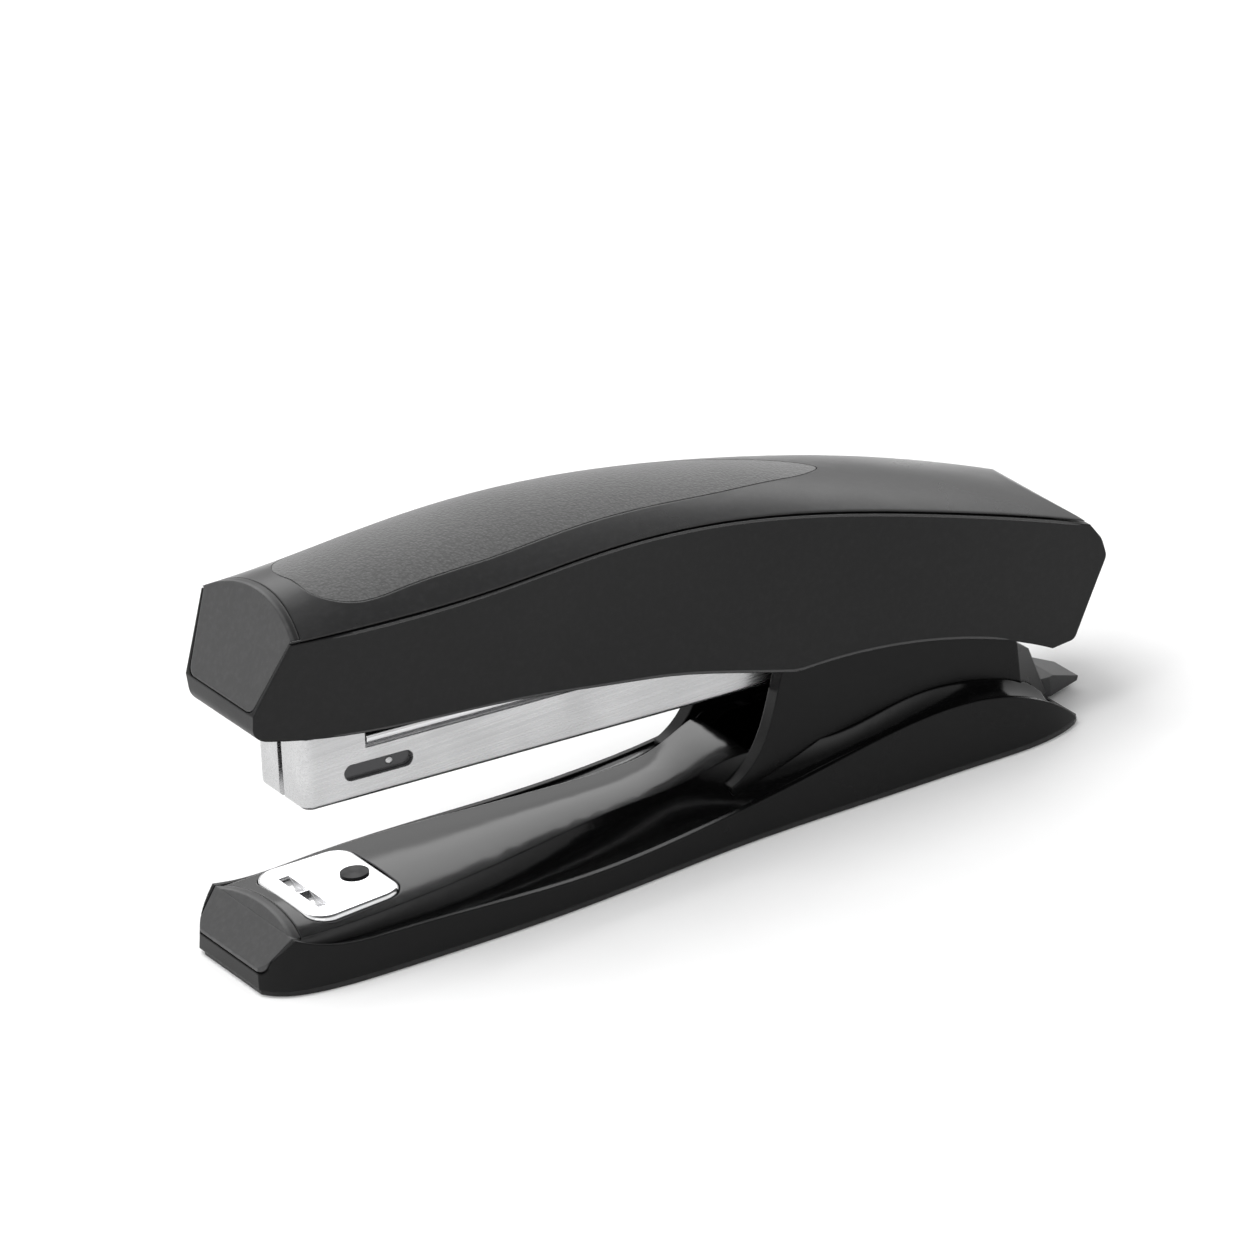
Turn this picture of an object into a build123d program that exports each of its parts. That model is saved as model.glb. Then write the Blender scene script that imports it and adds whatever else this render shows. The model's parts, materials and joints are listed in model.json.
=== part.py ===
from build123d import *
from math import cos, radians, sin
import os

# Desktop full-strip stapler, in millimetres.
# +X runs from the nose to the tail, +Y to the right-hand side, +Z up.
# The origin is on the desk, under the middle of the overall box.

# ---------------------------------------------------------------- driving dimensions
overall_length = 163.0
nose_x = -overall_length / 2      # front face of the base

# pivot and travel
pivot_distance = 134.0            # behind the nose of the base
pivot_height = 19.0
pin_radius = 2.0
pin_hole_radius = 2.06            # running fit
pin_half_length = 11.8            # its ends are blind in the cheeks
press_angle = 4.6                 # handle travel that drives one staple
magazine_tilt = 3.75              # nose up, at rest

# handle (cover)
cover_wall = 1.7
cover_foot_height = 12.0          # where the side faces are drawn down to before trimming
panel_depth = 1.4                 # nose panel thickness
grip_depth = 1.1
seam_gap = 0.2
# distance, half width at the crease, height of the crease, crown above it, half width at the foot
cover_stations = [
    (2, 13.6, 61.8, 3.9, 3.8),
    (20, 16.2, 60.4, 4.8, 5.2),
    (45, 18.2, 59.9, 6.2, 7.6),
    (68, 17.2, 59.7, 5.4, 11.2),
    (93, 15.6, 56.6, 4.2, 14.3),
    (115, 15.9, 51.3, 3.4, 14.6),
    (135, 16.5, 44.9, 3.0, 15.0),
    (150, 16.1, 39.3, 2.6, 15.1),
    (166, 15.2, 32.4, 2.2, 14.8),
]

# base
base_end = 155.4
sole_thickness = 1.2
tray_floor = 2.6
tray_wall = 1.6
deck_wall = 1.5
base_half_widths = [
    (0.2, 10.2), (3.5, 14.0), (9, 16.1), (20, 17.7), (34, 18.6), (50, 19.1),
    (66, 18.6), (90, 17.3), (112, 17.9), (135, 18.8), (149, 18.4), (154.2, 16.4),
]
# distance, half width and height of the outer edge, half width and height of the top, its crown
deck_stations = [
    (6, 13.4, 8.2, 12.6, 9.3, 1.7),
    (12, 14.7, 7.1, 13.0, 9.0, 1.3),
    (24, 16.3, 6.6, 13.2, 9.1, 1.0),
    (40, 17.0, 5.9, 12.0, 9.2, 1.0),
    (55, 17.1, 5.2, 9.6, 9.2, 0.9),
    (72, 16.3, 5.0, 7.2, 9.2, 0.7),
    (86, 15.6, 5.9, 7.0, 9.9, 0.6),
    (95, 15.5, 6.8, 8.9, 12.0, 0.3),
    (108, 15.9, 9.0, 12.7, 11.8, 0.2),
    (120, 16.3, 10.4, 12.9, 13.1, 0.2),
    (130, 16.8, 11.3, 12.9, 13.7, 0.2),
    (141, 16.8, 9.7, 12.9, 11.6, 0.2),
    (150, 16.3, 5.0, 12.9, 6.4, 0.2),
]

# rear housing
cheek_outer = 12.6
cheek_inner = 9.7
cheek_bend = 146.3                # where the cheeks turn in towards the rear wall
well_start = 95.5                 # opening in the deck between the cheeks
well_end = 146.5
well_floor = 3.9

# anvil
anvil_top = 10.2
anvil_thickness = 1.4
anvil_front = 11.3
anvil_back = 28.8
groove_radius = 6.0
groove_depth = 1.0
groove_distance = 15.3
groove_offset = 3.5               # each groove from the centre line
groove_half = 0.95

# magazine, in its own tilted frame
magazine_front = 13.7
magazine_bottom = 27.7
magazine_half = 8.0
magazine_height = 12.6
magazine_length = 126.0
sheet = 0.8
side_wall_height = 8.6
step_start = 11.6
front_slit = 1.5
rail_half = 5.9
rail_top = 8.2
rail_start = 2.8
rail_end = 114.0
strip_length = 52.0
strip_half = 6.4
strip_top = 8.65
leg_length = 6.0
rod_radius = 1.2
rod_height = 5.4
pusher_length = 10.0
pusher_start = 55.2

# handle frame
frame_half = 9.5
frame_inner = 8.6
frame_sheet = 1.2
blade_half = 6.1
blade_thickness = 0.6
blade_length = 17.5
rest_blade_height = 10.2          # blade tip above the magazine's bottom, at rest

frame_top = 57.0
screw_radius = 1.25
roll_radius = 1.2
rivet_distance = 24.9
plate_thickness = 1.2

pivot = (nose_x + pivot_distance, pivot_height)

os.makedirs("parts", exist_ok=True)


# ---------------------------------------------------------------- helpers
def along(distance):
    """X of a point that lies this far behind the nose of the base."""
    return nose_x + distance


def profile(points):
    """Side-view points (distance, height) as (X, Z)."""
    return [(along(distance), height) for distance, height in points]


def side_plane(offset=0):
    """Side-view plane of the tilted magazine: x runs to the tail, y up from the bottom."""
    tilt = radians(magazine_tilt)
    return Plane(
        origin=(along(magazine_front), -offset, magazine_bottom),
        x_dir=(cos(tilt), 0, -sin(tilt)),
        z_dir=(0, -1, 0),
    )


def floor_plane(height=0):
    """Plan plane of the tilted magazine, at a height above its bottom."""
    tilt = radians(magazine_tilt)
    normal = Vector(sin(tilt), 0, cos(tilt))
    origin = Vector(along(magazine_front), 0, magazine_bottom) + normal * height
    return Plane(origin=origin, x_dir=(cos(tilt), 0, -sin(tilt)), z_dir=normal)


def cross_plane(distance=0):
    """Plane square across the tilted magazine, at a distance behind its front."""
    tilt = radians(magazine_tilt)
    normal = Vector(cos(tilt), 0, -sin(tilt))
    origin = Vector(along(magazine_front), 0, magazine_bottom) + normal * distance
    return Plane(origin=origin, x_dir=(0, 1, 0), z_dir=normal)


def in_magazine(point):
    """A side-view point (X, Z) in the magazine's tilted side plane."""
    local = side_plane().to_local_coords(Vector(point[0], 0, point[1]))
    return (local.X, local.Y)


def blade_plane(offset):
    """Front face of the driver blade: x across, y up the blade, normal to the nose."""
    lean = radians(magazine_tilt + press_angle)
    tip = side_plane().from_local_coords((1.5, rest_blade_height, 0))
    normal = Vector(-cos(lean), 0, sin(lean))
    return Plane(origin=Vector(tip) + normal * offset, x_dir=(0, -1, 0), z_dir=normal)


def save(name, part):
    """Label a finished piece and write its STEP file."""
    part.label = name
    export_step(part, f"parts/{name}.step")


# ---------------------------------------------------------------- cover surfaces
def crowned_section(distance, half, height, crown, foot_half, foot_height):
    """One cross-section: straight sides up to a crease, and an arched top over them."""
    with BuildSketch(Plane.YZ.offset(along(distance))) as section:
        with BuildLine():
            Polyline((half, height), (foot_half, foot_height), (-foot_half, foot_height), (-half, height))
            ThreePointArc((-half, height), (0, height + crown), (half, height))
        make_face()
    return section.sketch


def cover_sections(inset):
    """Cross-sections of the handle: tapering sides under a crowned top."""
    return [
        crowned_section(
            distance, half - inset, height - inset / 2, crown - inset / 2,
            foot_half - inset, cover_foot_height,
        )
        for distance, half, height, crown, foot_half in cover_stations
    ]


def nose_line(depth):
    """The raked nose face seen from the side, moved back by a depth."""
    back = depth * 1.14
    return profile([(4.9 + depth, 49.0), (11.9 + back, 61.8), (24.4 + back, 84.0)])


# side-view outline of the whole cover
with BuildSketch(Plane.XZ) as cover_side:
    with BuildLine():
        nose_bottom, nose_crease, nose_top = nose_line(0)
        skirt_end = (along(151.8), 14.7)
        tail_line = profile([
            (156.3, 14.9), (163.9, 28.0), (163.2, 31.4), (160.6, 35.4), (154.6, 40.2), (146.0, 44.5), (146.0, 84.0),
        ])
        kink = (along(103), 26.2)
        chin = (along(7.5), 43.6)
        FilletPolyline([skirt_end] + tail_line, radius=[1.5, 2.0, 4.0, 8.0, 12.0, 1.0])
        Polyline(tail_line[-1], nose_top, nose_crease, nose_bottom)
        Spline(nose_bottom, (along(5.1), 45.4), chin, tangents=((0, -1), (1, -0.25)))
        Spline([chin] + profile([(25, 40.2), (40, 38.8), (54, 37.3), (68, 35.0), (80, 32.9), (92, 29.6)]) + [kink])
        Spline([kink] + profile([(115, 25.8), (127, 24.0), (138, 21.0)]) + [skirt_end])
    make_face()

with BuildSketch(Plane.XZ) as cavity_side:
    with BuildLine():
        inner_bottom, inner_crease, inner_top = nose_line(cover_wall)
        tail_inside = profile([
            (4.9 + cover_wall, 5), (150.2, 5), (150.2, 15.0), (154.6, 19.0),
            (160.2, 28.4), (158.6, 33.6), (150.0, 41.0), (150.0, 84),
        ])
        Polyline([inner_top, inner_crease, inner_bottom] + tail_inside, close=True)
    make_face()

# everything above the crease that runs round the top of the side walls
def above_crease(gap):
    """Side-view region over the crease, raised by a gap."""
    with BuildSketch(Plane.XZ) as region:
        with BuildLine():
            crease = Spline(profile([(station[0], station[2] + gap) for station in cover_stations]))
            Polyline(crease @ 1, (along(166), 84), (along(2), 84), crease @ 0)
        make_face()
    return region.sketch


with BuildPart() as cover_outer:
    loft(cover_sections(0))
    extrude(cover_side.sketch, amount=25, both=True, mode=Mode.INTERSECT)

with BuildPart() as cover_cavity:
    loft(cover_sections(cover_wall))
    extrude(cavity_side.sketch, amount=25, both=True, mode=Mode.INTERSECT)

with BuildPart() as below_grip:
    loft([
        crowned_section(distance, half, height - grip_depth, crown, half, 20)
        for distance, half, height, crown, foot_half in cover_stations
    ])

def raked_slab(face_plane, half, gap, proud):
    """The slab behind a raked nose face that a panel fills, grown by a gap."""
    with BuildSketch(face_plane) as outline:
        with BuildLine():
            low = 0.3 - gap
            Polyline((-half - gap, low), (half + gap, low), (18, 26), (-18, 26), close=True)
        make_face()
        fillet(outline.vertices().group_by(Axis.Z)[0], radius=2.2)
    with BuildPart() as slab:
        extrude(outline.sketch, amount=-(panel_depth + gap))
        if proud:
            extrude(outline.sketch, amount=proud)
    return slab.part


# plane of the cover's raked nose face
nose_face = Plane(
    origin=(along(4.9), 0, 49.0),
    x_dir=(0, -1, 0),
    z_dir=Vector(-12.8, 0, 7.0).normalized(),
)


def grip_outline(gap):
    """Plan of the grip pad: a broad front that narrows to a rounded tip at the tail."""
    side = [
        (20.2, 6.4), (24.4, 11.0), (34, 12.2), (50, 12.6), (65, 11.4), (82, 9.8), (96, 8.2),
        (108, 5.4), (116.5, 2.2),
    ]
    front, tip = (along(19.6 - gap), 0), (along(118.5 + gap), 0)
    right = [(along(distance), half + gap) for distance, half in side]
    left = [(x, -half) for x, half in reversed(right)]
    with BuildSketch(Plane.XY.offset(40)) as outline:
        with BuildLine():
            Spline([front] + right + [tip] + left, periodic=True)
        make_face()
    return outline.sketch


# ---------------------------------------------------------------- handle pieces
with BuildPart() as nose_panel:
    add(cover_outer.part)
    add(raked_slab(nose_face, 10.4, 0, 0), mode=Mode.INTERSECT)
save("nose_panel", nose_panel.part)

with BuildPart() as handle_shell:
    add(cover_outer.part)
    add(cover_cavity.part, mode=Mode.SUBTRACT)
    extrude(above_crease(0), amount=25, both=True, mode=Mode.SUBTRACT)
    add(raked_slab(nose_face, 10.4, seam_gap, 3), mode=Mode.SUBTRACT)
    with BuildSketch(Plane.XY.offset(10)):
        with Locations((along(160), 0)):
            Rectangle(24, 2 * cheek_outer + 1.6)
    extrude(amount=9.5, mode=Mode.SUBTRACT)
save("handle_shell", handle_shell.part)

with BuildPart() as grip_pad:
    add(cover_outer.part)
    add(below_grip.part, mode=Mode.SUBTRACT)
    extrude(grip_outline(0), amount=40, mode=Mode.INTERSECT)
save("grip_pad", grip_pad.part)

boss_places = [(along(34), 0), (along(56), 0)]
with BuildPart() as grip_pocket:
    add(cover_outer.part)
    add(below_grip.part, mode=Mode.SUBTRACT)
    extrude(grip_outline(seam_gap), amount=40, mode=Mode.INTERSECT)

with BuildPart() as top_deck:
    add(cover_outer.part)
    add(grip_pocket.part, mode=Mode.SUBTRACT)
    add(cover_cavity.part, mode=Mode.SUBTRACT)
    extrude(above_crease(0.3), amount=25, both=True, mode=Mode.INTERSECT)
    add(raked_slab(nose_face, 10.4, seam_gap, 3), mode=Mode.SUBTRACT)
    with BuildSketch(Plane.XY.offset(frame_top)):
        with Locations(boss_places):
            Circle(3.0)
    extrude(amount=7.4)
    with BuildSketch(Plane.XY.offset(frame_top)):
        with Locations(boss_places):
            Circle(screw_radius)
    extrude(amount=5.0, mode=Mode.SUBTRACT)
save("top_deck", top_deck.part)

# inner steel frame: a channel over the magazine whose two ears turn on the pivot pin
frame_line = profile([(19.6, frame_top), (62, frame_top), (86, 49), (112, 49), (127, 36.5)])
with BuildPart() as handle_frame:
    with BuildSketch(Plane.XZ):
        with BuildLine():
            Polyline(
                frame_line
                + profile([(137.5, 23), (130.4, 15.8), (122.5, 30), (108, 42), (84, 43), (60, 50.5), (19.6, 50.5)]),
                close=True,
            )
        make_face()
        with Locations(pivot):
            Circle(5.0)
    extrude(amount=frame_half, both=True)
    with BuildSketch(Plane.XZ):
        with BuildLine():
            under_plate = [(x, z - frame_sheet) for x, z in frame_line]
            Polyline(
                [(along(10), frame_top - frame_sheet)] + under_plate[:-1]
                + profile([(124, 36.8), (124, 60), (145, 60), (145, 5), (10, 5)]),
                close=True,
            )
        make_face()
    extrude(amount=frame_inner, both=True, mode=Mode.SUBTRACT)
    with BuildSketch(Plane.XZ):
        with Locations(pivot):
            Circle(pin_hole_radius)
    extrude(amount=frame_half, both=True, mode=Mode.SUBTRACT)
    with BuildSketch(Plane.XY.offset(frame_top - frame_sheet)):
        with Locations(boss_places):
            Circle(screw_radius + 0.1)
    extrude(amount=frame_sheet, mode=Mode.SUBTRACT)
    # nose flange that carries the driver blade
    with BuildSketch(blade_plane(-blade_thickness)):
        with Locations((0, blade_length - 2.6)):
            Rectangle(2 * frame_inner, 5.2)
    extrude(amount=-frame_sheet)
save("handle_frame", handle_frame.part)

with BuildPart() as driver_blade:
    with BuildSketch(blade_plane(0)):
        with Locations((0, blade_length / 2)):
            Rectangle(2 * blade_half, blade_length)
    extrude(amount=-blade_thickness)
save("driver_blade", driver_blade.part)

with BuildPart() as blade_rivets:
    with BuildSketch(blade_plane(0)):
        with Locations((-3.6, blade_length - 2.4), (3.6, blade_length - 2.4)):
            Circle(1.3)
    extrude(amount=0.5)
save("blade_rivets", blade_rivets.part)

with BuildPart() as frame_screws:
    with BuildSketch(Plane.XY.offset(frame_top - frame_sheet - 1.4)):
        with Locations(boss_places):
            Circle(2.6)
    extrude(amount=1.4)
    with BuildSketch(Plane.XY.offset(frame_top - frame_sheet)):
        with Locations(boss_places):
            Circle(screw_radius)
    extrude(amount=frame_sheet + 4.6)
save("frame_screws", frame_screws.part)

# ---------------------------------------------------------------- magazine pieces
pin_u, pin_h = in_magazine(pivot)

with BuildPart() as magazine_case:
    with BuildSketch(floor_plane()):
        with Locations((magazine_length / 2, 0)):
            Rectangle(magazine_length, 2 * magazine_half)
    extrude(amount=magazine_height)
    upright = Axis((0, 0, 0), floor_plane().z_dir)
    lengthwise = Axis((0, 0, 0), floor_plane().x_dir)
    fillet(magazine_case.edges().filter_by(upright).group_by(lengthwise)[0], radius=1.9)
    fillet(magazine_case.edges().filter_by(lengthwise).group_by(upright)[0], radius=1.0)
    with BuildSketch(floor_plane(sheet)):
        with Locations((magazine_length / 2 + sheet, 0)):
            Rectangle(magazine_length, 2 * (magazine_half - sheet))
    extrude(amount=magazine_height, mode=Mode.SUBTRACT)
    # lower side walls behind the step, and the open floor round the pin
    with BuildSketch(side_plane()):
        with Locations((step_start + 75, side_wall_height + 5)):
            Rectangle(150, 10)
        with Locations((rail_end + 8, 2.0)):
            Rectangle(14, 5)
    extrude(amount=magazine_half - sheet, both=True, mode=Mode.SUBTRACT)
    with BuildSketch(side_plane()):
        with Locations((step_start + 75, side_wall_height + 5)):
            Rectangle(150, 10)
    extrude(amount=magazine_half, both=True, mode=Mode.SUBTRACT)
    # ears round the pin
    for side in (-1, 1):
        with BuildSketch(side_plane(side * magazine_half)):
            with Locations((pin_u, pin_h)):
                Circle(4.4)
        extrude(amount=-side * sheet)
    with BuildSketch(side_plane()):
        with Locations((pin_u, pin_h)):
            Circle(pin_hole_radius)
    extrude(amount=magazine_half, both=True, mode=Mode.SUBTRACT)
    # slit between the two front tabs and the exit for the staple
    with BuildSketch(floor_plane()):
        Rectangle(3, front_slit)
        with Locations((1.95, 0)):
            Rectangle(2.3, 13.2)
    extrude(amount=magazine_height, mode=Mode.SUBTRACT)
    # window in each side
    with BuildSketch(side_plane()):
        with Locations((13.8, 4.9)):
            SlotOverall(12.8, 2.8)
    extrude(amount=magazine_half, both=True, mode=Mode.SUBTRACT)
save("magazine_case", magazine_case.part)

# inner liner whose rolled top edges lie on the case's side walls
with BuildPart() as magazine_liner:
    for side in (-1, 1):
        with BuildSketch(side_plane(side * (magazine_half - sheet - 0.05))):
            with BuildLine():
                Polyline(
                    (5, 0.85), (rail_end, 0.85), (rail_end, 9.4), (step_start + 0.3, 9.4),
                    (step_start + 0.3, 8.4), (5, 8.4), close=True,
                )
            make_face()
        extrude(amount=-side * 0.6)
        with BuildSketch(cross_plane(step_start + 0.3)):
            with Locations((side * (magazine_half - roll_radius), side_wall_height + 0.15 + roll_radius)):
                Circle(roll_radius)
                Circle(roll_radius - 0.5, mode=Mode.SUBTRACT)
        extrude(amount=rail_end - step_start - 0.3)
save("magazine_liner", magazine_liner.part)

with BuildPart() as staple_rail:
    with BuildSketch(cross_plane(rail_start)):
        with BuildLine():
            outer, inner = rail_half, rail_half - sheet
            Polyline(
                (-outer, 0.85), (-outer, rail_top), (outer, rail_top), (outer, 0.85), (inner, 0.85),
                (inner, rail_top - sheet), (-inner, rail_top - sheet), (-inner, 0.85), close=True,
            )
        make_face()
    extrude(amount=rail_end - rail_start)
    with BuildSketch(cross_plane(rail_start)):
        with Locations((0, rail_top / 2)):
            Rectangle(2 * rail_half - sheet, rail_top - 1.7)
    extrude(amount=2.0)
    with BuildSketch(floor_plane(rail_top - 2 * sheet)):
        with Locations(((rail_start + rail_end) / 2, 0)):
            Rectangle(rail_end - rail_start - 12, 3.2)
    extrude(amount=3 * sheet, mode=Mode.SUBTRACT)
    with BuildSketch(cross_plane(rail_start + 0.6)):
        with Locations((0, rod_height)):
            Circle(rod_radius + 0.03)
    extrude(amount=3, mode=Mode.SUBTRACT)
save("staple_rail", staple_rail.part)

with BuildPart() as guide_rod:
    with BuildSketch(cross_plane(rail_start + 0.7)):
        with Locations((0, rod_height)):
            Circle(rod_radius)
    extrude(amount=rail_end - rail_start - 1.2)
save("guide_rod", guide_rod.part)

with BuildPart() as rod_anchor:
    with BuildSketch(cross_plane(rail_end - 4.5)):
        with Locations((0, rail_top / 2)):
            Rectangle(2 * (rail_half - sheet) - 0.1, rail_top - 2 * sheet - 0.1)
        with Locations((0, rod_height)):
            Circle(rod_radius + 0.03, mode=Mode.SUBTRACT)
    extrude(amount=4.0)
save("rod_anchor", rod_anchor.part)

with BuildPart() as staple_strip:
    with BuildSketch(cross_plane(rail_start - 0.2)):
        with BuildLine():
            outer, inner, foot = strip_half, rail_half + 0.06, strip_top - leg_length
            Polyline(
                (-outer, foot), (-outer, strip_top), (outer, strip_top), (outer, foot), (inner, foot),
                (inner, rail_top + 0.02), (-inner, rail_top + 0.02), (-inner, foot), close=True,
            )
        make_face()
    extrude(amount=strip_length)
save("staple_strip", staple_strip.part)

with BuildPart() as pusher:
    with BuildSketch(cross_plane(pusher_start)):
        with BuildLine():
            outer, inner, foot, head = strip_half - 0.05, rail_half + 0.08, 3.0, strip_top + 0.05
            Polyline(
                (-outer, foot), (-outer, head), (-4.6, head), (-4.6, 10.6), (4.6, 10.6), (4.6, head),
                (outer, head), (outer, foot), (inner, foot), (inner, rail_top + 0.06),
                (-inner, rail_top + 0.06), (-inner, foot), close=True,
            )
        make_face()
    extrude(amount=pusher_length)
    with BuildSketch(cross_plane(pusher_start + 1)):
        with Locations((0, rod_height + 1.6)):
            Rectangle(2.6, 5.2)
        with Locations((0, rod_height)):
            Circle(2.3)
            Circle(rod_radius + 0.06, mode=Mode.SUBTRACT)
    extrude(amount=pusher_length - 2)
save("pusher", pusher.part)

with BuildPart() as spring_seat:
    with BuildSketch(cross_plane(82)):
        with Locations((0, side_wall_height + 0.2 + 2 * roll_radius + 0.5)):
            Rectangle(2 * magazine_half, 1.0)
    extrude(amount=11)
save("spring_seat", spring_seat.part)


def coil(plane, radius, wire, height, turns):
    """A compression spring: a round wire on a helix, standing on a plane."""
    path = Helix(pitch=height / turns, height=height, radius=radius)
    start = Plane(origin=path @ 0, z_dir=path % 0)
    with BuildPart() as spring:
        with BuildSketch(start) as section:
            Circle(wire / 2)
        sweep(section.sketch, path=path, is_frenet=True)
    return spring.part.moved(plane.location)


spring_start = pusher_start + pusher_length - 0.7
spring_axis = Plane(
    origin=cross_plane(spring_start).from_local_coords((0, rod_height, 0)),
    x_dir=(0, 1, 0),
    z_dir=cross_plane().z_dir,
)
save("pusher_spring", coil(spring_axis, 1.9, 0.5, rail_end - 4.8 - spring_start, 18))
save("handle_spring", coil(Plane((along(100), 0, 35.3)), 3.6, 0.8, 11.6, 5))
save("lift_spring", coil(Plane((along(113), 0, well_floor + 0.5)), 3.6, 0.9, 16.0, 6))

# ---------------------------------------------------------------- base pieces
def anvil_outline(gap):
    """Plan of the anvil plate, a little narrower at the back, grown by a gap."""
    with BuildSketch(Plane.XY.offset(anvil_top - anvil_thickness - gap / 3)) as outline:
        with BuildLine():
            front, back = along(anvil_front - gap), along(anvil_back + gap)
            Polyline(
                (front, -11.6 - gap), (back, -10.6 - gap), (back, 10.6 + gap), (front, 11.6 + gap), close=True,
            )
        make_face()
        fillet(outline.vertices(), radius=4.0)
    return outline.sketch


def base_outline(height, inset, end=base_end):
    """Plan of the base at a height, drawn in by an inset."""
    right = [(along(distance + inset * (distance < 4)), half - inset) for distance, half in base_half_widths]
    right = [point for point in right if point[0] < along(end) - 0.5]
    left = [(x, -half) for x, half in right]
    with BuildSketch(Plane.XY.offset(height)) as outline:
        with BuildLine():
            starboard = Spline(right)
            port = Spline(left)
            Line(port @ 0, starboard @ 0)
            tail = along(end)
            Polyline(starboard @ 1, (tail, right[-1][1] - 1.2), (tail, -right[-1][1] + 1.2), port @ 1)
        make_face()
    return outline.sketch


def deck_section(distance, edge_half, edge_height, top_half, top_height, crown, inset):
    """Cross-section of the deck: crowned top, hollow flanks, thin outer edges."""
    with BuildSketch(Plane.YZ.offset(along(distance))) as section:
        edge, top = edge_half - inset, max(top_half - inset, 3)
        rim, ridge = edge_height - inset, top_height - inset
        crown = max(crown - inset, 0.1)
        foot = tray_floor + 0.05 - inset
        middle = ((edge + top) / 2 - 0.2, (rim + ridge) / 2 - 0.15 * (ridge - rim))
        with BuildLine():
            Polyline((edge, rim), (edge, foot), (-edge, foot), (-edge, rim))
            Spline((-edge, rim), (-middle[0], middle[1]), (-top, ridge))
            ThreePointArc((-top, ridge), (0, ridge + crown), (top, ridge))
            Spline((top, ridge), middle, (edge, rim))
        make_face()
    return section.sketch


# the base's outer form, before its deck pocket: drafted sides under the crest line
with BuildPart() as base_form:
    loft([base_outline(sole_thickness, 0), base_outline(sole_thickness + 16, 1.6)], ruled=True)
    with BuildSketch(Plane.XZ):
        with BuildLine():
            crest = Spline(profile([
                (5.9, 9.6), (13, 7.5), (24, 6.9), (42, 6.1), (62, 5.2), (80, 5.7), (96, 7.2),
                (112, 9.8), (129, 11.6), (141, 10.2), (149, 6.4), (base_end, 0.4),
            ]))
            below = [(along(base_end), -1), (along(-1), -1), (along(-1), 3.5), (along(0), 4.4)]
            Polyline([crest @ 1] + below + [crest @ 0])
        make_face()
    extrude(amount=25, both=True, mode=Mode.INTERSECT)

with BuildPart() as deck_form:
    loft([deck_section(*station, 0) for station in deck_stations])

base_face = Plane(
    origin=(along(0), 0, 4.4),
    x_dir=(0, -1, 0),
    z_dir=Vector(-5.2, 0, 5.9).normalized(),
)

with BuildPart() as base_nose_panel:
    add(base_form.part)
    add(deck_form.part)
    add(raked_slab(base_face, 10.9, 0, 0), mode=Mode.INTERSECT)
save("base_nose_panel", base_nose_panel.part)

screw_places = [(along(38), 10.5), (along(38), -10.5), (along(139), 12.6), (along(139), -12.6)]
tongue_outline = profile([(147, 5.4), (157, 4.7), (163, 2.0), (162.6, 1.3), (147, 1.3)])


def tongue(gap):
    """The staple remover: a wedge that sticks out at the tail, grown by a gap."""
    with BuildPart() as wedge:
        with BuildSketch(Plane.XZ):
            Polygon(*tongue_outline, align=None)
            if gap:
                offset(amount=gap)
        extrude(amount=6.0 + gap, both=True)
        with BuildSketch(Plane.XY):
            Polygon(
                (along(146), 6.0 + gap), (along(156), 6.0 + gap), (along(164), 3.4 + gap),
                (along(164), -3.4 - gap), (along(156), -6.0 - gap), (along(146), -6.0 - gap),
                align=None,
            )
        extrude(amount=12, mode=Mode.INTERSECT)
    return wedge.part


with BuildPart() as base_tray:
    add(base_form.part)
    extrude(base_outline(tray_floor, tray_wall, 150.6), amount=20, mode=Mode.SUBTRACT)
    add(raked_slab(base_face, 10.9, seam_gap, 6), mode=Mode.SUBTRACT)
    add(tongue(0.1), mode=Mode.SUBTRACT)
    with BuildSketch(Plane.XY):
        with Locations(screw_places):
            Circle(1.1)
    extrude(amount=5, mode=Mode.SUBTRACT)
save("base_tray", base_tray.part)

with BuildPart() as base_deck:
    add(deck_form.part)
    loft([deck_section(*station, deck_wall) for station in deck_stations[1:-1]], mode=Mode.SUBTRACT)
    add(raked_slab(base_face, 10.9, seam_gap, 6), mode=Mode.SUBTRACT)
    with BuildSketch(Plane.XY.offset(tray_floor + 0.05)):
        with Locations(screw_places):
            Circle(2.3)
            Circle(1.0, mode=Mode.SUBTRACT)
    extrude(amount=5.5)
    with BuildSketch(Plane.XY.offset(0)):
        with Locations((along((well_start + well_end) / 2), 0)):
            Rectangle(well_end - well_start, 2 * cheek_inner)
    extrude(amount=30, mode=Mode.SUBTRACT)
    extrude(anvil_outline(0.15), amount=6, mode=Mode.SUBTRACT)
    with BuildSketch(Plane.XY):
        with Locations((along(rivet_distance), 0)):
            Circle(1.25)
    extrude(amount=30, mode=Mode.SUBTRACT)
    extrude(base_outline(tray_floor, tray_wall + 0.1, 150.4), amount=20, mode=Mode.INTERSECT)
    add(tongue(0.1), mode=Mode.SUBTRACT)
save("base_deck", base_deck.part)

with BuildPart() as anvil_plate:
    extrude(anvil_outline(0), amount=anvil_thickness)
    fillet(anvil_plate.faces().sort_by(Axis.Z)[-1].edges(), radius=0.7)
    for side in (-1, 1):
        with BuildSketch(Plane.YZ.offset(along(groove_distance))):
            with Locations((side * groove_offset, anvil_top - groove_depth + groove_radius)):
                Circle(groove_radius)
        extrude(amount=groove_half, both=True, mode=Mode.SUBTRACT)
    with BuildSketch(Plane.XY):
        with Locations((along(rivet_distance), 0)):
            Circle(1.25)
    extrude(amount=30, mode=Mode.SUBTRACT)
save("anvil_plate", anvil_plate.part)

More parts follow.
